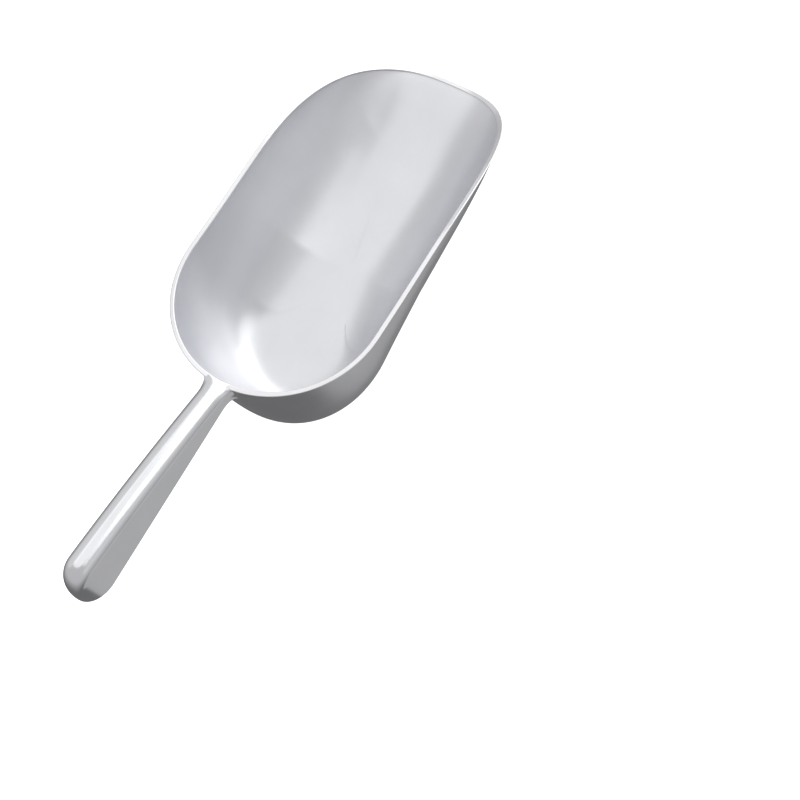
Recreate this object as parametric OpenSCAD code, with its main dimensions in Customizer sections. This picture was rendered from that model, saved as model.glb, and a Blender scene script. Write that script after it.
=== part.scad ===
// Cast aluminium ice scoop: a deep round-backed bowl whose floor lifts toward a wide
// front lip, a raised rim around its mouth, and a hollow-backed handle that rises from
// the rim. Millimetres. X is across, +Y runs toward the front lip, +Z is up, and z = 0 is
// the flat part of the underside. The origin is under the middle of the whole scoop.

/* [Bowl] */
// width over the rim
bowl_w = 116; // [108:1:126]
// how far behind the origin the back of the rim is
bowl_back = 46.1; // [41:0.1:52]
// how far in front of the origin the lip is
bowl_front = 169; // [160:1:180]
// length of the rounded front part
front_len = 95.3; // [88:0.1:104]
// squareness of the rounded front, 2 is an ellipse
front_power = 2.8; // [2.4:0.1:3.4]
// how much each side draws in toward the front
side_draw = 0; // [-2:0.1:3]
// thickness of the wall and of the floor
wall_t = 2; // [1.7:0.1:2.2]
// distance from the origin at which the underside starts to lift
keel_y = 45; // [40:1:60]
// how far the underside has lifted at the lip
keel_rise = 14; // [11:0.1:14.2]

/* [Rim heights] */
// height of the rim at the back
rim_back_z = 68.4; // [67:0.1:69.4]
// height of the rim along the sides
rim_side_z = 58.3; // [53:0.1:62]
// length over which the rim climbs toward the back
rim_climb_len = 110; // [80:1:130]
// how late the rim climbs toward the back, larger is later
rim_climb_power = 1.6; // [1.2:0.1:2.4]
// distance from the origin at which the rim starts to sweep down
rim_drop_y = 38.8; // [30:0.1:50]
// how late the rim sweeps down, larger is later
rim_drop_power = 2.9; // [2.2:0.1:3.4]
// height of the front lip
lip_z = 16.8; // [16.6:0.1:18]

/* [Wall shape] */
// share of the half width that the outside of the wall turns in by, at the back
out_back = 0.15; // [0.12:0.01:0.2]
// the same at the middle of the bowl
out_mid = 0.74; // [0.68:0.01:0.77]
// the same at the front
out_front = 0.72; // [0.66:0.01:0.75]
// share of the half width that the inside of the wall turns in by, at the back
in_back = 0.42; // [0.32:0.01:0.5]
// the same at the middle of the bowl
in_mid = 0.82; // [0.78:0.01:0.86]
// the same at the front
in_front = 0.78; // [0.75:0.01:0.81]
// fullness of the wall at the back
full_back = 2.5; // [2.2:0.1:3]
// fullness of the wall at the middle
full_mid = 1.8; // [1.5:0.1:2.1]
// fullness of the wall at the front
full_front = 1.15; // [1.1:0.05:1.4]
// how suddenly the wall turns in, 2 is a circle
full_plan = 2.1; // [1.9:0.1:2.4]

/* [Rim] */
// width of the flat rim
rim_w = 2.5; // [2.5:0.1:3.2]
// depth of the rim bead
rim_h = 1.4; // [1.2:0.1:2]

/* [Handle] */
// how far behind the origin the handle ends
grip_back = 169; // [155:1:180]
// width of the handle over its lower edges, at the bowl
grip_w0 = 14.2; // [13:0.1:16]
// width of the handle over its lower edges, at the end
grip_w1 = 22.3; // [20:0.1:26]
// radius of the rounded top at the bowl
crown_r0 = 7; // [6.5:0.1:7.2]
// radius of the rounded top at the end
crown_r1 = 7.5; // [7:0.1:9]
// height of the top line above the base, at the rim
crown_z = 69; // [68:0.1:70.5]
// climb of the top line over the whole handle, if it were straight
crown_climb = 37; // [31:0.1:41]
// how far the top line bows down from straight at the end
crown_bow = 9.2; // [2:0.1:12]
// height of the lower edges at the rim
edge_z = 61; // [60:0.1:62]
// climb of the lower edges over the whole handle
edge_climb = 9.9; // [7:0.1:12]
// length of the rounded end
end_len = 15.3; // [12:0.1:18]
// thickness of the handle's shell
grip_t = 2.6; // [2:0.1:3.2]

/* [Neck] */
// how far behind the back of the rim the neck ends
neck_len = 9; // [7:0.5:12]
// half angle that the rounded nose takes on the rim, from the bowl's centre
nose_angle = 6.3; // [6:0.1:7]
// half angle that the neck's side webs take on the rim
web_angle = 8.8; // [8:0.1:10]
// half angle of the neck's lower end on the wall
heel_angle = 6.6; // [6:0.1:7.5]

/* [Hidden] */

metal = [0.76, 0.77, 0.79];
bright = [0.88, 0.88, 0.89];

half_w = bowl_w / 2;
back_cy = half_w - bowl_back;
front_y = bowl_front - front_len;
spine_front = bowl_front - half_w;
wall_out = rim_w - wall_t;
grip_start = 5;
grip_y0 = grip_start - bowl_back;
grip_len = grip_y0 + grip_back;
neck_y = -bowl_back - neck_len;

// steps along the mouth: near the neck, round the back, along the side, round the front
near_steps = 4;
near_angle = 12;
back_steps = 12;
side_steps = 7;
nose_steps = 18;
half_steps = near_steps + back_steps + side_steps + nose_steps;
mouth_steps = 2 * half_steps;
wall_steps = 11;

function clip01(v) = min(1, max(0, v));
function ease(t) = t * t * (3 - 2 * t);
function mix(a, b, t) = a + (b - a) * t;

// a value that runs through three levels from the back of the bowl to the front
function along(y, a, b, c) =
  let (t = clip01((y + bowl_back) / (bowl_back + bowl_front)))
  t < 0.45 ? mix(a, b, t / 0.45) : t < 0.85 ? mix(b, c, (t - 0.45) / 0.4) : c;

// plan outline, right half: points that are "inset" inside the rim's outer edge
function back_point(a, inset) =
  let (r = half_w - inset)
  [r * sin(a), back_cy - r * cos(a)];

function side_point(t, inset) =
  [half_w - inset - side_draw * ease(t), mix(back_cy, front_y - inset, t)];

function front_point(a, inset) =
  let (k = pow(pow(cos(a), front_power) + pow(sin(a), front_power), -1 / front_power))
  [(half_w - inset - side_draw) * k * cos(a), front_y - inset + front_len * k * sin(a)];

// outline point number i, counted from the middle of the back to the middle of the front
function half_point(i, inset) =
  i <= near_steps ? back_point(near_angle * i / near_steps, inset) :
  i <= near_steps + back_steps ?
    back_point(mix(near_angle, 90, (i - near_steps) / back_steps), inset) :
  i <= near_steps + back_steps + side_steps ?
    side_point((i - near_steps - back_steps) / side_steps, inset) :
  front_point(90 * (i - near_steps - back_steps - side_steps) / nose_steps, inset);

// the whole outline: up the right side to the front and back down the left side
function mouth_point(i, inset) =
  i <= half_steps ? half_point(i, inset) :
  let (p = half_point(mouth_steps - i, inset)) [-p[0], p[1]];

// height of the rim's flat top over a point of the rim's inner edge
function rim_top(y) =
  let (
    climb = clip01((back_cy - half_w + rim_w + rim_climb_len - y) / rim_climb_len),
    base = rim_side_z + (rim_back_z - rim_side_z) * pow(climb, rim_climb_power),
    u = clip01((y - rim_drop_y) / (bowl_front - rim_w - rim_drop_y))
  )
  lip_z + (base - lip_z) * (1 - pow(u, rim_drop_power));

// height of the underside along the middle of the bowl
function keel(y) =
  let (u = clip01((y - keel_y) / (bowl_front - keel_y)))
  keel_rise * u * u;

// where the wall stops under the rim, for a rim top at z above a floor
function wall_top(z, floor_z) =
  floor_z + (z - floor_z) * (z - floor_z) / (z - floor_z + rim_h);

// One point of a wall section. The section starts under the rim, where turn is 0, and
// sweeps toward the bowl's middle line and down to the floor, where turn is 90.
function wall_point(p, turn, top, floor_t, turn_in, full) =
  let (
    spine = min(spine_front, max(back_cy, p[1])),
    keep = 1 - turn_in * (1 - pow(cos(turn), 2 / full_plan)),
    y = mix(spine, p[1], keep),
    fall = pow(sin(turn), 2 / full)
  )
  [p[0] * keep, y, mix(top, keel(y) + floor_t, fall)];

function wall_turn(k) = 90 * pow(k / wall_steps, 1.35);
function full_at(y) = along(y, full_back, full_mid, full_front);

// The wall below point p of the rim. "edge_y" is where the rim's inner edge is there.
function outer_wall(p, edge_y, turn) =
  let (top = wall_top(rim_top(edge_y), keel(edge_y)))
  wall_point(p, turn, top, 0, along(p[1], out_back, out_mid, out_front), full_at(p[1]));

function inner_wall(p, edge_y, turn) =
  let (top = wall_top(rim_top(edge_y), keel(edge_y) + wall_t))
  wall_point(p, turn, top, wall_t, along(p[1], in_back, in_mid, in_front), full_at(p[1]));

// The rim's section where its inner edge is at "edge_y", as [inset, height] pairs that run
// from the foot of its outer side, over the flat top, to the foot of its inner side.
function rim_section(edge_y) =
  let (
    z = rim_top(edge_y),
    a = wall_top(z, keel(edge_y)),
    b = wall_top(z, keel(edge_y) + wall_t),
    h = z - a
  )
  [
    [wall_out, a],
    [0.08, a + 0.45 * h],
    [0, z - 0.3 * h],
    [0.12, z - 0.08 * h],
    [0.4, z],
    [0.55 * rim_w, z],
    [rim_w - 0.4, z],
    [rim_w - 0.1, mix(z, b, 0.06)],
    [rim_w, mix(z, b, 0.2)],
    [rim_w, b]
  ];
rim_points = 10;

// faces of a skin over "rows" closed loops of "cols" points each
function loop_faces(rows, cols, first = 0) = [
  for (r = [0:rows - 2], c = [0:cols - 1])
    let (
      d = (c + 1) % cols,
      p = first + r * cols + c,
      q = first + r * cols + d,
      s = first + (r + 1) * cols + d,
      t = first + (r + 1) * cols + c
    )
    each [[p, q, s], [p, s, t]]
];

function flipped(faces) = [for (f = faces) [f[0], f[2], f[1]]];

// a strip of faces between two loops of points, given by the number of their first points
function strip_faces(loop_a, loop_b, count) = [
  for (i = [0:count - 1])
    let (j = (i + 1) % count)
    each [[loop_a + i, loop_a + j, loop_b + j], [loop_a + i, loop_b + j, loop_b + i]]
];

// cap across a loop that is the same left and right, as rungs from side to side
function cap_faces(first, steps) = [
  for (i = [0:steps / 2 - 1])
    let (a = first + i, b = first + i + 1, c = first + (steps - i - 1), d = first + (steps - i) % steps)
    each concat(i == 0 ? [] : [[a, c, d]], i == steps / 2 - 1 ? [] : [[a, b, c]])
];

// ---- bowl: one wall that turns into the floor ----
module bowl() {
  outer = [
    for (k = [0:wall_steps], i = [0:mouth_steps - 1])
      let (edge = mouth_point(i, rim_w))
      outer_wall(mouth_point(i, wall_out), edge[1], wall_turn(k))
  ];
  inner = [
    for (k = [0:wall_steps], i = [0:mouth_steps - 1])
      let (edge = mouth_point(i, rim_w))
      inner_wall(edge, edge[1], wall_turn(k))
  ];
  inner_first = (wall_steps + 1) * mouth_steps;
  floor_out = wall_steps * mouth_steps;
  floor_in = inner_first + floor_out;
  color(metal)
    polyhedron(
      points = concat(outer, inner),
      faces = concat(
        loop_faces(wall_steps + 1, mouth_steps),
        flipped(loop_faces(wall_steps + 1, mouth_steps, inner_first)),
        flipped(strip_faces(0, inner_first, mouth_steps)),
        cap_faces(floor_out, mouth_steps),
        flipped(cap_faces(floor_in, mouth_steps))
      ),
      convexity = 6
    );
}

// ---- rim: a bead that stands on the wall all the way round ----
module rim() {
  ring = [
    for (k = [0:rim_points - 1], i = [0:mouth_steps - 1])
      let (
        s = rim_section(mouth_point(i, rim_w)[1])[k],
        p = mouth_point(i, s[0])
      )
      [p[0], p[1], s[1]]
  ];
  color(bright)
    polyhedron(
      points = ring,
      faces = concat(
        flipped(loop_faces(rim_points, mouth_steps)),
        strip_faces(0, (rim_points - 1) * mouth_steps, mouth_steps)
      ),
      convexity = 6
    );
}

// ---- handle section ----
crown_steps = 20;
skirt_steps = 2;
hood_steps = crown_steps + 2 * skirt_steps;

function grip_t_at(y) = (grip_y0 - y) / grip_len;
function edge_line(y) = edge_z + edge_climb * grip_t_at(y);

// Point j of the handle's section at y, from one lower edge over the rounded top to the
// other. "thin" shrinks the section for the inside face. "size" is 1 along the handle and
// falls to 0 over the rounded end.
function hood_point(y, j, thin, size) =
  let (
    t = grip_t_at(y),
    top = crown_z + crown_climb * t - crown_bow * t * t,
    r = mix(crown_r0, crown_r1, t),
    mid = top - r,
    half = mix(grip_w0, grip_w1, t) / 2 - thin,
    edge = edge_line(y),
    a = 180 * (j - skirt_steps) / crown_steps,
    side = j < skirt_steps ? -1 : 1,
    s = j < skirt_steps ? j / skirt_steps : (hood_steps - j) / skirt_steps,
    on_crown = j >= skirt_steps && j <= skirt_steps + crown_steps,
    x = on_crown ? -(r - thin) * cos(a) : side * mix(half, r - thin, s),
    z = on_crown ? mid + (r - thin) * sin(a) : mix(edge, mid, s)
  )
  [x * size, y, edge + (z - edge) * size];

// stations along the handle: even steps, then round the end
body_steps = 12;
end_steps = 9;
grip_steps = body_steps + end_steps;

function grip_station(i, thin) =
  let (
    stop = -grip_back + end_len,
    a = 90 * (i - body_steps) / end_steps
  )
  i <= body_steps ? [mix(neck_y, stop, i / body_steps), 1] :
  [stop - (end_len - thin) * sin(a), cos(a)];

// ---- handle: an upside-down trough with a rounded end, open underneath ----
// All the points of one face of the shell, ending with the single point of its round end.
function hood_skin(thin) = [
  for (i = [0:grip_steps - 1], j = [0:hood_steps])
    let (s = grip_station(i, thin))
    hood_point(s[0], j, thin, s[1]),
  let (y = thin - grip_back) [0, y, edge_line(y)]
];
hood_cols = hood_steps + 1;
hood_total = grip_steps * hood_cols + 1;
function hood_id(i, j) = i < grip_steps ? i * hood_cols + j : hood_total - 1;

// faces of a band that joins two rows of points; where it has closed to one point at its
// far side, one triangle is enough
function band(p, q, s, t) = s == t ? [[p, q, s]] : [[p, q, s], [p, s, t]];

function hood_faces() = [
  for (i = [0:grip_steps - 1], j = [0:hood_steps - 1])
    each band(hood_id(i, j), hood_id(i, j + 1), hood_id(i + 1, j + 1), hood_id(i + 1, j))
];

function shifted(faces, by) = [for (f = faces) [f[0] + by, f[1] + by, f[2] + by]];

module handle() {
  start = [
    for (j = [0:hood_steps - 1])
      each [[j, j + 1, hood_total + j + 1], [j, hood_total + j + 1, hood_total + j]]
  ];
  edges = [
    for (i = [0:grip_steps - 1], j = [0, hood_steps])
      let (
        a = hood_id(i, j),
        b = hood_id(i + 1, j),
        f = [[a, hood_total + a, hood_total + b], [a, hood_total + b, b]]
      )
      each j == 0 ? f : flipped(f)
  ];
  color(metal)
    polyhedron(
      points = concat(hood_skin(0), hood_skin(grip_t)),
      faces = concat(
        hood_faces(),
        flipped(shifted(hood_faces(), hood_total)),
        flipped(start),
        flipped(edges)
      ),
      convexity = 6
    );
}

// ---- neck footprint on the rim and the back wall ----
foot_rows = 8;
foot_cols = 8;

// row 0 is the neck's lower end on the wall, the last row is the rim's inner edge
function foot_section(row, a) =
  let (
    edge_y = back_point(a, rim_w)[1],
    s = rim_section(edge_y),
    w = outer_wall(back_point(a, wall_out), edge_y, wall_turn(2 - row)),
    k = row - 2,
    p = back_point(a, s[max(0, k)][0])
  )
  row < 2 ? w : [p[0], p[1], s[k][1]];

function foot_angle(row) =
  row == 0 ? heel_angle :
  row == 1 ? mix(heel_angle, web_angle, 0.6) :
  row <= 4 ? web_angle :
  mix(web_angle, nose_angle, pow((row - 4) / 4, 0.7));

function foot_point(row, col) = foot_section(row, foot_angle(row) * (2 * col / foot_cols - 1));

// the footprint's border, in step with the handle's section: up the left side, across the
// nose, down the right side, and back along the lower end
border_steps = 2 * foot_rows + 2 * foot_cols;
function border_cell(i) =
  i <= foot_rows ? [i, 0] :
  i <= foot_rows + foot_cols ? [foot_rows, i - foot_rows] :
  i <= 2 * foot_rows + foot_cols ? [2 * foot_rows + foot_cols - i, foot_cols] :
  [0, border_steps - i];

function root_point(i, y) =
  i <= hood_steps ? hood_point(y, i, 0, 1) :
  let (s = (i - hood_steps) / foot_cols)
  [mix(grip_w0, grip_w1, grip_t_at(y)) * (0.5 - s), y, edge_line(y)];

// the neck's skin leaves the rim or wall along a rounded web and joins the handle
web_steps = 7;
web_lean_x = 0.3;
web_lean_z = 0.08;
function web_point(i, a) =
  let (
    cell = border_cell(i),
    from = foot_point(cell[0], cell[1]),
    to = root_point(i, neck_y),
    bend_y = from[1] - web_lean_x * abs(from[0] - to[0]) - web_lean_z * abs(from[2] - to[2]),
    bend = root_point(i, bend_y)
  )
  bend + (from - bend) * (1 - sin(a)) + (to - bend) * (1 - cos(a));

// ---- neck: the solid root that carries the handle over the rim ----
module neck() {
  webs = [
    for (k = [0:web_steps], i = [0:border_steps - 1]) web_point(i, 90 * k / web_steps)
  ];
  inside = [
    for (r = [1:foot_rows - 1], c = [1:foot_cols - 1]) foot_point(r, c)
  ];
  inside_first = (web_steps + 1) * border_steps;
  root_first = web_steps * border_steps;
  // number of a footprint point, which is on the border or inside it
  function cell_id(r, c) =
    c == 0 ? r :
    r == foot_rows ? foot_rows + c :
    c == foot_cols ? foot_rows + foot_cols + (foot_rows - r) :
    r == 0 ? border_steps - c :
    inside_first + (r - 1) * (foot_cols - 1) + c - 1;
  footprint = [
    for (r = [0:foot_rows - 1], c = [0:foot_cols - 1])
      let (
        p = cell_id(r, c),
        q = cell_id(r, c + 1),
        s = cell_id(r + 1, c + 1),
        t = cell_id(r + 1, c)
      )
      each [[p, q, s], [p, s, t]]
  ];
  top = hood_steps / 2;
  root = [
    for (i = [top + 1:top + border_steps - 2])
      [root_first + top, root_first + i % border_steps, root_first + (i + 1) % border_steps]
  ];
  color(metal)
    polyhedron(
      points = concat(webs, inside),
      faces = concat(
        loop_faces(web_steps + 1, border_steps),
        footprint,
        root
      ),
      convexity = 6
    );
}

bowl();
rim();
neck();
handle();
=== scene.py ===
"""Cast aluminium ice scoop: visual model, floor, lights and camera.

Metres, in the frame of the CAD model: X across, +Y toward the front lip, +Z up.
"""

import math

import bpy
import numpy as np
from mathutils import Matrix, Vector


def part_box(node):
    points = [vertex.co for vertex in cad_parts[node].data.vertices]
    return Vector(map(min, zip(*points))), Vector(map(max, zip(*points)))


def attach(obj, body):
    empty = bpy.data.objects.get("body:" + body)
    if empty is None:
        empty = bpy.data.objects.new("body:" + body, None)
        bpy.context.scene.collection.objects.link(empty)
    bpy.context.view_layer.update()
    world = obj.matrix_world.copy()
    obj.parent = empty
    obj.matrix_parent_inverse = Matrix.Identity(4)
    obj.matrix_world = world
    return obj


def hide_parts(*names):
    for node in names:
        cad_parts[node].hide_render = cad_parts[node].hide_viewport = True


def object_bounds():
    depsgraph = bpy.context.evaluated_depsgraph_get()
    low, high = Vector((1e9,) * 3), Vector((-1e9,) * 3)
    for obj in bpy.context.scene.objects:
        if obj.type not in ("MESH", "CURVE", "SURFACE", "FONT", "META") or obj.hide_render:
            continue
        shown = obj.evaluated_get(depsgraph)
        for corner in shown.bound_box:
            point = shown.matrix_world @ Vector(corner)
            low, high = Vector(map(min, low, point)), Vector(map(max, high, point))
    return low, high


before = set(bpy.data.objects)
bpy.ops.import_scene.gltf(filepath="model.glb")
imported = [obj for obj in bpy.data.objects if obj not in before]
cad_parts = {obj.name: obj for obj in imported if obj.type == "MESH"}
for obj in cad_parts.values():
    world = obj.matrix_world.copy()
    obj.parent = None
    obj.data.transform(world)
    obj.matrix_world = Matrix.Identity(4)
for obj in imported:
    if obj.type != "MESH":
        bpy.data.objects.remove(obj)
cad_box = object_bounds()

MM = 0.001

# ---- sizes, taken from the CAD boxes where they give them ----
RIM_LO, RIM_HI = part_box("rim")
GRIP_LO, GRIP_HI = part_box("handle")
HALF_W = RIM_HI[0]
BACK_Y = RIM_LO[1]
LIP_Y = RIM_HI[1]
RIM_BACK_Z = RIM_HI[2]
GRIP_END_Y = GRIP_LO[1]
NECK_Y = GRIP_HI[1]

FRONT_LEN = 95.3 * MM
FRONT_POWER = 2.8
SIDE_DRAW = 0.0 * MM
WALL_T = 2.0 * MM
RIM_W = 2.5 * MM
RIM_H = 1.4 * MM
RIM_SIDE_Z = 58.3 * MM
RIM_CLIMB_LEN = 110 * MM
RIM_CLIMB_POWER = 1.6
RIM_DROP_Y = 38.8 * MM
RIM_DROP_POWER = 2.9
LIP_Z = 16.8 * MM
KEEL_Y = 45 * MM
KEEL_RISE = 14 * MM
SPINE_FRONT = LIP_Y - HALF_W
TURN_OUT = (0.15, 0.74, 0.72)
FULL_OUT = (2.5, 1.8, 1.15)
TURN_IN = (0.42, 0.82, 0.78)
FULL_IN = (2.5, 1.8, 1.15)
FULL_PLAN = 2.1
WALL_OUT = RIM_W - WALL_T
CENTRE_Y = BACK_Y + HALF_W

GRIP_Y0 = BACK_Y + 5.0 * MM
GRIP_LEN = GRIP_Y0 - GRIP_END_Y
GRIP_W = (14.2 * MM, 22.3 * MM)
CROWN_R = (7.0 * MM, 7.5 * MM)
CROWN_Z = 69.0 * MM
CROWN_CLIMB = 37.0 * MM
CROWN_BOW = 9.2 * MM
EDGE_Z = 61.0 * MM
EDGE_CLIMB = 9.9 * MM
END_LEN = 15.3 * MM
GRIP_T = 2.6 * MM


def mix(a, b, t):
    return a + (b - a) * t


def ease(t):
    return t * t * (3 - 2 * t)


def along(y, levels):
    """A value that runs through three levels from the back of the bowl to the front."""
    t = np.clip((y - BACK_Y) / (LIP_Y - BACK_Y), 0, 1)
    return np.interp(t, (0, 0.45, 0.85, 1), (levels[0], levels[1], levels[2], levels[2]))


# ---- plan outline of the mouth ----
def back_arc(angle, inset):
    r = HALF_W - inset
    return np.stack([r * np.sin(angle), CENTRE_Y - r * np.cos(angle)], 1)


def side_line(t, inset):
    y1 = LIP_Y - inset - FRONT_LEN
    return np.stack([HALF_W - inset - SIDE_DRAW * ease(t), mix(CENTRE_Y, y1, t)], 1)


def front_curve(angle, inset):
    w = HALF_W - inset - SIDE_DRAW
    c, s = np.clip(np.cos(angle), 0, 1), np.sin(angle)
    k = (c**FRONT_POWER + s**FRONT_POWER) ** (-1 / FRONT_POWER)
    u, v = k * c, k * s
    y1 = LIP_Y - inset - FRONT_LEN
    return np.stack([w * u, y1 + FRONT_LEN * v], 1)


def mouth(inset, per_quarter=64):
    """Closed outline as rows of x and y, from the back centre round the right side."""
    quarter = np.linspace(0, math.pi / 2, per_quarter + 1)
    side = np.linspace(0, 1, per_quarter // 2 + 1)
    back = back_arc(quarter, inset)[:-1]
    straight = side_line(side, inset)[:-1]
    half = np.concatenate([back, straight, front_curve(quarter, inset)])
    mirror = half[1:-1][::-1] * np.array([-1, 1])
    return np.concatenate([half, mirror])


def rim_top(y):
    climb = np.clip((BACK_Y + RIM_W + RIM_CLIMB_LEN - y) / RIM_CLIMB_LEN, 0, 1)
    base = RIM_SIDE_Z + (RIM_BACK_Z - RIM_SIDE_Z) * climb**RIM_CLIMB_POWER
    u = np.clip((y - RIM_DROP_Y) / (LIP_Y - RIM_W - RIM_DROP_Y), 0, 1)
    return LIP_Z + (base - LIP_Z) * (1 - u**RIM_DROP_POWER)


def keel(y):
    """Height of the underside along the middle of the bowl."""
    return KEEL_RISE * np.clip((y - KEEL_Y) / (LIP_Y - KEEL_Y), 0, 1) ** 2


def wall_top(z, floor):
    """Where the wall stops under the rim, for a rim top at z above a floor."""
    return floor + (z - floor) ** 2 / (z - floor + RIM_H)


# ---- mesh helpers ----
CREASE = math.radians(38)


def make_object(name, verts, faces, smooth=True):
    mesh = bpy.data.meshes.new(name)
    mesh.from_pydata([tuple(map(float, v)) for v in verts], [], faces)
    mesh.validate()
    mesh.update()
    if smooth:
        mesh.polygons.foreach_set("use_smooth", [True] * len(mesh.polygons))
        mesh.set_sharp_from_angle(angle=CREASE)
    obj = bpy.data.objects.new(name, mesh)
    bpy.context.scene.collection.objects.link(obj)
    return obj


def skin(rings, closed=True):
    """Quads over rings of points, each ring a closed loop when closed is set."""
    rows, cols = rings.shape[:2]
    span = cols if closed else cols - 1
    faces = []
    for r in range(rows - 1):
        for c in range(span):
            d = (c + 1) % cols
            low, high = r * cols, (r + 1) * cols
            faces.append((low + c, low + d, high + d, high + c))
    return faces


def shrink_rings(ring, centre, steps):
    """Rings that close a flat outline toward its centre."""
    scale = np.linspace(1, 0, steps + 1)[1:-1]
    return np.stack([centre + (ring - centre) * s for s in scale])


# ---- bowl ----
ROW_CROWDING = 1.35
FLOOR_ROWS = 24


def wall_rings(edge, top, floor_t, turn_levels, full_levels, steps=72):
    """Rings from under the rim to the floor, each a little closer to the bowl's spine."""
    spine = np.clip(edge[:, 1], CENTRE_Y, SPINE_FRONT)
    turn_in = along(edge[:, 1], turn_levels)
    full = along(edge[:, 1], full_levels)
    turns = (np.linspace(0, 1, steps + 1) ** ROW_CROWDING) * math.pi / 2
    rings = []
    for turn in turns:
        keep = 1 - turn_in * (1 - max(math.cos(turn), 0.0) ** (2 / FULL_PLAN))
        y = spine + (edge[:, 1] - spine) * keep
        fall = math.sin(turn) ** (2 / full)
        rings.append(np.stack([edge[:, 0] * keep, y, mix(top, keel(y) + floor_t, fall)], 1))
    return np.array(rings)


def soften(rows, first=24, fade=22, passes=90):
    """Round the hollow corners of the inside by averaging each row with its neighbours.

    The rows near the rim stay as they are, and the averaging sets in over the next ones.
    """
    weight = np.array([ease(min(1.0, max(0.0, (r - first) / fade))) for r in range(len(rows))])
    weight[-1] = 0.0
    for _ in range(passes):
        near = (rows[:-2] + 2 * rows[1:-1] + rows[2:]) / 4
        rows[1:-1] += weight[1:-1, None, None] * (near - rows[1:-1])
    return rows


def build_bowl():
    edge_in = mouth(RIM_W)
    top = rim_top(edge_in[:, 1])
    base = keel(edge_in[:, 1])
    outer = wall_rings(mouth(WALL_OUT), wall_top(top, base), 0.0, TURN_OUT, FULL_OUT)
    inner = wall_rings(edge_in, wall_top(top, base + WALL_T), WALL_T, TURN_IN, FULL_IN)
    parts = []
    for rings, floor_t in ((outer, 0.0), (inner, WALL_T)):
        last = rings[-1]
        centre = last.mean(0)
        floor = shrink_rings(last, centre, FLOOR_ROWS)
        floor[:, :, 2] = keel(floor[:, :, 1]) + floor_t
        centre[2] = keel(centre[1]) + floor_t
        rows = np.concatenate([rings, floor])
        parts.append((soften(rows) if floor_t else rows, centre))
    (out_rings, out_c), (in_rings, in_c) = parts
    cols = out_rings.shape[1]
    n_out = out_rings.shape[0] * cols
    verts = np.concatenate([out_rings.reshape(-1, 3), [out_c], in_rings.reshape(-1, 3), [in_c]])
    first_in = n_out + 1
    faces = [tuple(f) for f in skin(out_rings)]
    last = (out_rings.shape[0] - 1) * cols
    faces += [(last + c, last + (c + 1) % cols, n_out) for c in range(cols)]
    faces += [tuple(first_in + v for v in reversed(f)) for f in skin(in_rings)]
    for c in range(cols):
        d = (c + 1) % cols
        faces.append((first_in + last + d, first_in + last + c, first_in + n_out))
    for c in range(cols):
        d = (c + 1) % cols
        faces.append((first_in + c, first_in + d, d, c))
    faces = [tuple(reversed(f)) for f in faces]
    return make_object("bowl_shell", verts, faces)


# ---- rim ----
def rim_section(top, y):
    a, b = wall_top(top, keel(y)), wall_top(top, keel(y) + WALL_T)
    h = top - a
    pts = [
        (WALL_OUT, a),
        (WALL_OUT - 0.03 * MM, a + 0.08 * h),
        (0.2 * MM, a + 0.32 * h),
        (0.06 * MM, a + 0.46 * h),
        (0.0, a + 0.58 * h),
        (0.0, top - 0.3 * h),
        (0.05 * MM, top - 0.15 * h),
        (0.16 * MM, top - 0.05 * h),
        (0.32 * MM, top - 0.01 * h),
        (0.5 * MM, top),
        (0.9 * MM, top),
        (1.4 * MM, top),
        (RIM_W - 0.6 * MM, top),
        (RIM_W - 0.36 * MM, top),
        (RIM_W - 0.18 * MM, mix(top, b, 0.03)),
        (RIM_W - 0.06 * MM, mix(top, b, 0.09)),
        (RIM_W, mix(top, b, 0.2)),
        (RIM_W, mix(top, b, 0.4)),
        (RIM_W, b),
    ]
    return pts


def build_rim():
    edge = mouth(RIM_W)
    top = rim_top(edge[:, 1])
    rings = []
    for inset, z in rim_section(top, edge[:, 1]):
        p = mouth(inset)
        rings.append(np.stack([p[:, 0], p[:, 1], z], 1))
    rings = np.array(rings)
    cols = rings.shape[1]
    last = (rings.shape[0] - 1) * cols
    faces = skin(rings)
    faces += [(last + c, last + (c + 1) % cols, (c + 1) % cols, c) for c in range(cols)]
    return make_object("rim_bead", rings.reshape(-1, 3), faces)


# ---- handle ----
CROWN_STEPS = 48
SKIRT_STEPS = 8
HOOD_STEPS = CROWN_STEPS + 2 * SKIRT_STEPS


def edge_line(y):
    return EDGE_Z + EDGE_CLIMB * (GRIP_Y0 - y) / GRIP_LEN


END_TIP = 1e-3


def hood(y, thin=0.0, size=1.0):
    """The handle's section at y, from one lower edge over the top to the other."""
    t = (GRIP_Y0 - y) / GRIP_LEN
    top = CROWN_Z + CROWN_CLIMB * t - CROWN_BOW * t * t
    r = mix(CROWN_R[0], CROWN_R[1], t)
    mid = top - r
    half = mix(GRIP_W[0], GRIP_W[1], t) / 2 - thin
    edge = edge_line(y)
    a = np.linspace(0, math.pi, CROWN_STEPS + 1)
    x = -(r - thin) * np.cos(a)
    z = mid + (r - thin) * np.sin(a)
    s = np.linspace(0, 1, SKIRT_STEPS + 1)[:-1]
    left = np.stack([-mix(half, r - thin, s), mix(edge, mid, s)], 1)
    right = (left * (-1, 1))[::-1]
    pts = np.concatenate([left, np.stack([x, z], 1), right])
    height = edge + (pts[:, 1] - edge) * size
    return np.stack([pts[:, 0] * size, np.full(len(pts), y), height], 1)


def grip_stations(thin, body=70, end=40):
    stop = GRIP_END_Y + END_LEN
    ys = [(mix(NECK_Y, stop, i / body), 1.0) for i in range(body + 1)]
    for i in range(1, end + 1):
        a = math.pi / 2 * i / end
        ys.append((stop - (END_LEN - thin) * math.sin(a), max(math.cos(a), END_TIP)))
    return ys


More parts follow.
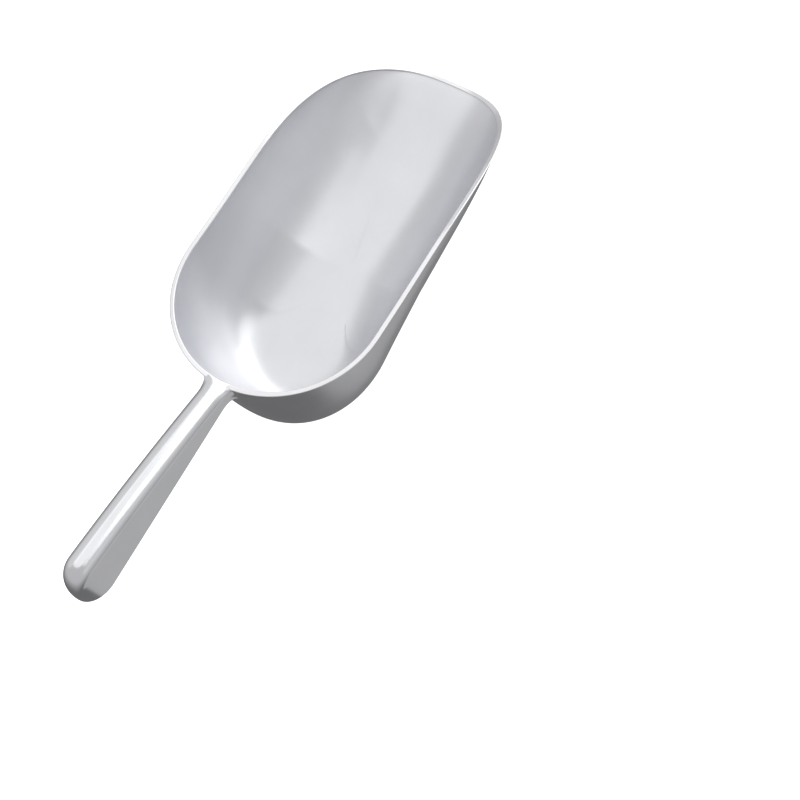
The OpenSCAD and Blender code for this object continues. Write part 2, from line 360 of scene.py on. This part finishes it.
def build_handle():
    outer = np.array([hood(y, 0.0, k) for y, k in grip_stations(0.0)])
    inner = np.array([hood(y, GRIP_T, k) for y, k in grip_stations(GRIP_T)])
    cols = outer.shape[1]
    count = outer.shape[0] * cols
    faces = skin(outer, closed=False)
    faces += [tuple(count + v for v in reversed(f)) for f in skin(inner, closed=False)]
    faces += [(j + 1, j, count + j, count + j + 1) for j in range(cols - 1)]
    for i in range(outer.shape[0] - 1):
        a, b = i * cols, (i + 1) * cols
        faces.append((a, b, count + b, count + a))
        c, d = a + cols - 1, b + cols - 1
        faces.append((d, c, count + c, count + d))
    end = (outer.shape[0] - 1) * cols
    faces.append((end, end + cols - 1, count + end + cols - 1, count + end))
    tip = [end + j for j in range(cols)]
    faces.append(tuple(reversed(tip)))
    tip_in = [count + end + j for j in range(cols)]
    faces.append(tuple(tip_in))
    verts = np.concatenate([outer.reshape(-1, 3), inner.reshape(-1, 3)])
    return make_object("handle_grip", verts, faces)


# ---- neck ----
NOSE_ANGLE = math.radians(6.3)
WEB_ANGLE = math.radians(8.8)
HEEL_ANGLE = math.radians(6.6)
HEEL_DEPTH = 2 / 11
HEEL_WIDENING = 1.15
HEEL_ROWS = 12
NOSE_START_ROW = 5
RIM_ROWS = 15
NOSE_POWER = 0.8
NECK_ACROSS = 24
NECK_RINGS = 24
BEND_PER_WIDTH = 0.3
BEND_PER_HEIGHT = 0.08


def foot_path():
    """Rows of the neck's footprint as (kind, value, half angle).

    They run from its lower end on the wall up to the rim's inner edge.
    """
    rows = []
    heel_turn = math.radians(90) * HEEL_DEPTH**ROW_CROWDING
    for s in np.linspace(0, 1, HEEL_ROWS + 1)[:-1]:
        half_angle = mix(HEEL_ANGLE, WEB_ANGLE, ease(min(1, s * HEEL_WIDENING)))
        rows.append(("wall", heel_turn * (1 - s), half_angle))
    for k in range(RIM_ROWS):
        s = max(0.0, (k - NOSE_START_ROW) / (RIM_ROWS - 1 - NOSE_START_ROW))
        rows.append(("rim", k, mix(WEB_ANGLE, NOSE_ANGLE, s**NOSE_POWER)))
    return rows


def foot_points(row, angles):
    kind, value, _ = row
    edge = back_arc(angles, RIM_W)
    top = rim_top(edge[:, 1])
    if kind == "rim":
        inset, z = rim_section(top, edge[:, 1])[value]
        p = back_arc(angles, inset)
        return np.stack([p[:, 0], p[:, 1], z + 0 * p[:, 0]], 1)
    e = back_arc(angles, WALL_OUT)
    turn_in, full = along(e[:, 1], TURN_OUT), along(e[:, 1], FULL_OUT)
    keep = 1 - turn_in * (1 - max(math.cos(value), 0) ** (2 / FULL_PLAN))
    fall = math.sin(value) ** (2 / full)
    y = CENTRE_Y + (e[:, 1] - CENTRE_Y) * keep
    return np.stack([e[:, 0] * keep, y, wall_top(top, 0.0) * (1 - fall)], 1)


def build_neck():
    rows = foot_path()
    n_side = len(rows)
    across = NECK_ACROSS
    left = np.array([foot_points(r, np.array([-r[2]]))[0] for r in rows])
    nose = foot_points(rows[-1], np.linspace(-rows[-1][2], rows[-1][2], across + 1))
    heel = foot_points(rows[0], np.linspace(rows[0][2], -rows[0][2], across + 1))
    right = (left * (-1, 1, 1))[::-1]
    border = np.concatenate([left, nose[1:-1], right, heel[1:-1]])
    count = len(border)
    n_hood = 2 * n_side + across - 1
    s_hood = np.linspace(0, 1, n_hood)

    def root(y):
        pts = hood(y)
        seg = np.r_[0, np.cumsum(np.linalg.norm(np.diff(pts, axis=0), axis=1))]
        # evenly spaced along the section, then back along the open side
        wanted = s_hood * seg[-1]
        out = np.stack([np.interp(wanted, seg, pts[:, k]) for k in range(3)], 1)
        t = np.linspace(0, 1, count - n_hood + 2)[1:-1]
        across_x = mix(pts[-1, 0], pts[0, 0], t)
        low = np.stack([across_x, np.full(len(t), y), np.full(len(t), edge_line(y))], 1)
        return np.concatenate([out, low])

    to = root(NECK_Y)
    sideways = BEND_PER_WIDTH * abs(border[:, 0] - to[:, 0])
    upward = BEND_PER_HEIGHT * abs(border[:, 2] - to[:, 2])
    bend_y = border[:, 1] - sideways - upward
    bend = np.array([root(y)[i] for i, y in enumerate(bend_y)])
    rings = []
    for a in np.linspace(0, math.pi / 2, NECK_RINGS + 1):
        from_border = (border - bend) * (1 - math.sin(a))
        to_handle = (to - bend) * (1 - math.cos(a))
        rings.append(bend + from_border + to_handle)
    rings = np.array(rings)
    # footprint grid closes the piece against the rim and wall
    grid = np.array([foot_points(r, np.linspace(-r[2], r[2], across + 1)) for r in rows])
    verts = list(rings.reshape(-1, 3))
    ids = {}
    for r in range(n_side):
        for c in range(across + 1):
            if c == 0:
                ids[r, c] = r
            elif r == n_side - 1:
                ids[r, c] = n_side - 1 + c
            elif c == across:
                ids[r, c] = n_side - 1 + across + (n_side - 1 - r)
            elif r == 0:
                ids[r, c] = count - c
            else:
                ids[r, c] = len(verts)
                verts.append(grid[r, c])
    faces = [tuple(reversed(f)) for f in skin(rings)]
    for r in range(n_side - 1):
        for c in range(across):
            faces.append((ids[r + 1, c], ids[r + 1, c + 1], ids[r, c + 1], ids[r, c]))
    last = (len(rings) - 1) * count
    faces.append(tuple(last + i for i in reversed(range(count))))
    return make_object("neck_root", np.array(verts), faces)


# ---- materials ----
def node_at(tree, kind, **values):
    node = tree.nodes.new(kind)
    for key, value in values.items():
        if hasattr(node, key):
            setattr(node, key, value)
        else:
            node.inputs[key].default_value = value
    return node


def metal_material(name, base, rough, rough_spread, bump, waves):
    """Hand-polished cast aluminium: fine grain, light wear and slow waves in the surface."""
    mat = bpy.data.materials.new(name)
    mat.use_nodes = True
    tree = mat.node_tree
    tree.nodes.clear()
    link = tree.links.new
    out = tree.nodes.new("ShaderNodeOutputMaterial")
    shader = tree.nodes.new("ShaderNodeBsdfPrincipled")
    shader.inputs["Metallic"].default_value = 1.0
    shader.inputs["IOR"].default_value = 1.5
    link(shader.outputs["BSDF"], out.inputs["Surface"])
    coord = tree.nodes.new("ShaderNodeTexCoord")
    # cloudy patches where the polish is uneven
    cloud = node_at(tree, "ShaderNodeTexNoise", Scale=45.0, Detail=4.0, Roughness=0.55)
    link(coord.outputs["Object"], cloud.inputs["Vector"])
    # fine grain of the casting
    grain = node_at(tree, "ShaderNodeTexNoise", Scale=1400.0, Detail=3.0, Roughness=0.6)
    link(coord.outputs["Object"], grain.inputs["Vector"])
    # long polishing marks
    stretch = node_at(tree, "ShaderNodeMapping", vector_type="POINT")
    stretch.inputs["Scale"].default_value = (1800.0, 60.0, 1800.0)
    link(coord.outputs["Object"], stretch.inputs["Vector"])
    marks = node_at(tree, "ShaderNodeTexNoise", Scale=1.0, Detail=2.0, Roughness=0.5)
    link(stretch.outputs["Vector"], marks.inputs["Vector"])
    spread = node_at(tree, "ShaderNodeMapRange")
    spread.inputs["To Min"].default_value = rough - rough_spread
    spread.inputs["To Max"].default_value = rough + rough_spread
    blend = node_at(tree, "ShaderNodeMath", operation="MULTIPLY_ADD")
    blend.inputs[1].default_value = 0.35
    link(marks.outputs["Fac"], blend.inputs[0])
    half = node_at(tree, "ShaderNodeMath", operation="MULTIPLY")
    half.inputs[1].default_value = 0.65
    link(cloud.outputs["Fac"], half.inputs[0])
    link(half.outputs["Value"], blend.inputs[2])
    link(blend.outputs["Value"], spread.inputs["Value"])
    link(spread.outputs["Result"], shader.inputs["Roughness"])
    tone = node_at(tree, "ShaderNodeMix", data_type="RGBA")
    tone.inputs["A"].default_value = (*[c * 0.93 for c in base], 1)
    tone.inputs["B"].default_value = (*[min(1, c * 1.04) for c in base], 1)
    link(cloud.outputs["Fac"], tone.inputs["Factor"])
    link(tone.outputs["Result"], shader.inputs["Base Color"])
    wave = node_at(tree, "ShaderNodeTexNoise", Scale=28.0, Detail=1.0, Roughness=0.4)
    link(coord.outputs["Object"], wave.inputs["Vector"])
    slow = node_at(tree, "ShaderNodeBump", Strength=waves, Distance=0.0006)
    link(wave.outputs["Fac"], slow.inputs["Height"])
    fine = node_at(tree, "ShaderNodeBump", Strength=bump, Distance=0.00003)
    link(grain.outputs["Fac"], fine.inputs["Height"])
    link(slow.outputs["Normal"], fine.inputs["Normal"])
    lines = node_at(tree, "ShaderNodeBump", Strength=bump, Distance=0.00002)
    link(marks.outputs["Fac"], lines.inputs["Height"])
    link(fine.outputs["Normal"], lines.inputs["Normal"])
    link(lines.outputs["Normal"], shader.inputs["Normal"])
    return mat


BOWL_METAL = metal_material("bowl_metal", (0.78, 0.785, 0.805), 0.34, 0.05, 0.25, 0.10)
RIM_METAL = metal_material("rim_metal", (0.90, 0.90, 0.91), 0.22, 0.04, 0.15, 0.05)
GRIP_METAL = metal_material("handle_metal", (0.88, 0.885, 0.90), 0.22, 0.04, 0.2, 0.08)


def dress(obj, node, material):
    obj.data.materials.append(material)
    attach(obj, "root")
    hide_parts(node)
    return obj


dress(build_bowl(), "bowl", BOWL_METAL)
dress(build_rim(), "rim", RIM_METAL)
dress(build_neck(), "neck", GRIP_METAL)
dress(build_handle(), "handle", GRIP_METAL)


# ---- floor ----
FLOOR_GAP = 0.0002


def build_floor():
    size = 3.0
    floor = make_object(
        "floor",
        [(-size, -size, 0), (size, -size, 0), (size, size, 0), (-size, size, 0)],
        [(0, 1, 2, 3)],
        smooth=False,
    )
    floor.location.z = cad_box[0][2] - FLOOR_GAP
    mat = bpy.data.materials.new("floor_white")
    mat.use_nodes = True
    shader = mat.node_tree.nodes["Principled BSDF"]
    shader.inputs["Base Color"].default_value = (0.93, 0.93, 0.93, 1)
    shader.inputs["Roughness"].default_value = 0.9
    shader.inputs["Specular IOR Level"].default_value = 0.1
    shader.inputs["Emission Color"].default_value = (1, 1, 1, 1)
    shader.inputs["Emission Strength"].default_value = 0.9
    floor.data.materials.append(mat)
    floor.visible_glossy = False
    floor.visible_diffuse = False
    floor.visible_shadow = False


build_floor()


# ---- lights ----
TARGET = Vector((0.0, 0.02, 0.02))
PANEL_DISTANCE = 1.6


def panel(name, azimuth, elevation, wide, tall, level):
    """A soft panel that faces the scoop and fills "wide" by "tall" degrees of its surroundings.

    Azimuth 0 is in front of the lip (+Y) and 90 is to the right (+X).
    """
    a, e = math.radians(azimuth), math.radians(elevation)
    way = Vector((math.sin(a) * math.cos(e), math.cos(a) * math.cos(e), math.sin(e)))
    data = bpy.data.lights.new(name, "AREA")
    data.shape = "ELLIPSE"
    data.size = 2 * PANEL_DISTANCE * math.tan(math.radians(wide / 2))
    data.size_y = 2 * PANEL_DISTANCE * math.tan(math.radians(tall / 2))
    data.energy = math.pi * level * data.size * data.size_y
    lamp = bpy.data.objects.new(name, data)
    lamp.location = TARGET + way * PANEL_DISTANCE
    lamp.rotation_euler = way.to_track_quat("Z", "Y").to_euler()
    lamp.visible_camera = False
    bpy.context.scene.collection.objects.link(lamp)
    return lamp


def build_world(level, low_level):
    """An even studio that gets darker toward the floor under the scoop."""
    world = bpy.data.worlds.new("studio")
    world.use_nodes = True
    tree = world.node_tree
    shade = tree.nodes["Background"]
    coord = tree.nodes.new("ShaderNodeTexCoord")
    height = tree.nodes.new("ShaderNodeSeparateXYZ")
    tree.links.new(coord.outputs["Generated"], height.inputs["Vector"])
    fade = node_at(tree, "ShaderNodeMapRange")
    fade.inputs["From Min"].default_value = -0.6
    fade.inputs["From Max"].default_value = 0.0
    fade.inputs["To Min"].default_value = low_level
    fade.inputs["To Max"].default_value = level
    tree.links.new(height.outputs["Z"], fade.inputs["Value"])
    tree.links.new(fade.outputs["Result"], shade.inputs["Strength"])
    shade.inputs["Color"].default_value = (1.0, 1.0, 1.02, 1)
    bpy.context.scene.world = world


build_world(0.52, 0.15)
panel("left", -78, 34, 86, 62, 0.12)
panel("front", -2, 22, 66, 74, 0.95)
panel("front_right", 50, 44, 34, 40, 0.70)
panel("top", -40, 78, 62, 58, 0.34)
panel("right", 92, 24, 50, 26, 0.10)
panel("bounce", 85, -50, 70, 60, 0.22)


# ---- camera ----
CAMERA_PLACE = (0.34309, -0.14564, 0.77287)


def build_camera():
    cam = bpy.data.cameras.new("camera")
    cam.lens = 72.0
    cam.sensor_width = 36.0
    cam.clip_start = 0.01
    cam.clip_end = 20.0
    obj = bpy.data.objects.new("camera", cam)
    right = Vector((0.8368, 0.5064, -0.2082))
    up = Vector((-0.4316, 0.8441, 0.3183))
    back = right.cross(up)
    turn = Matrix((right, up, back)).transposed().to_4x4()
    obj.matrix_world = Matrix.Translation(CAMERA_PLACE) @ turn
    bpy.context.scene.collection.objects.link(obj)
    bpy.context.scene.camera = obj


build_camera()
bpy.context.scene.view_settings.view_transform = "Standard"
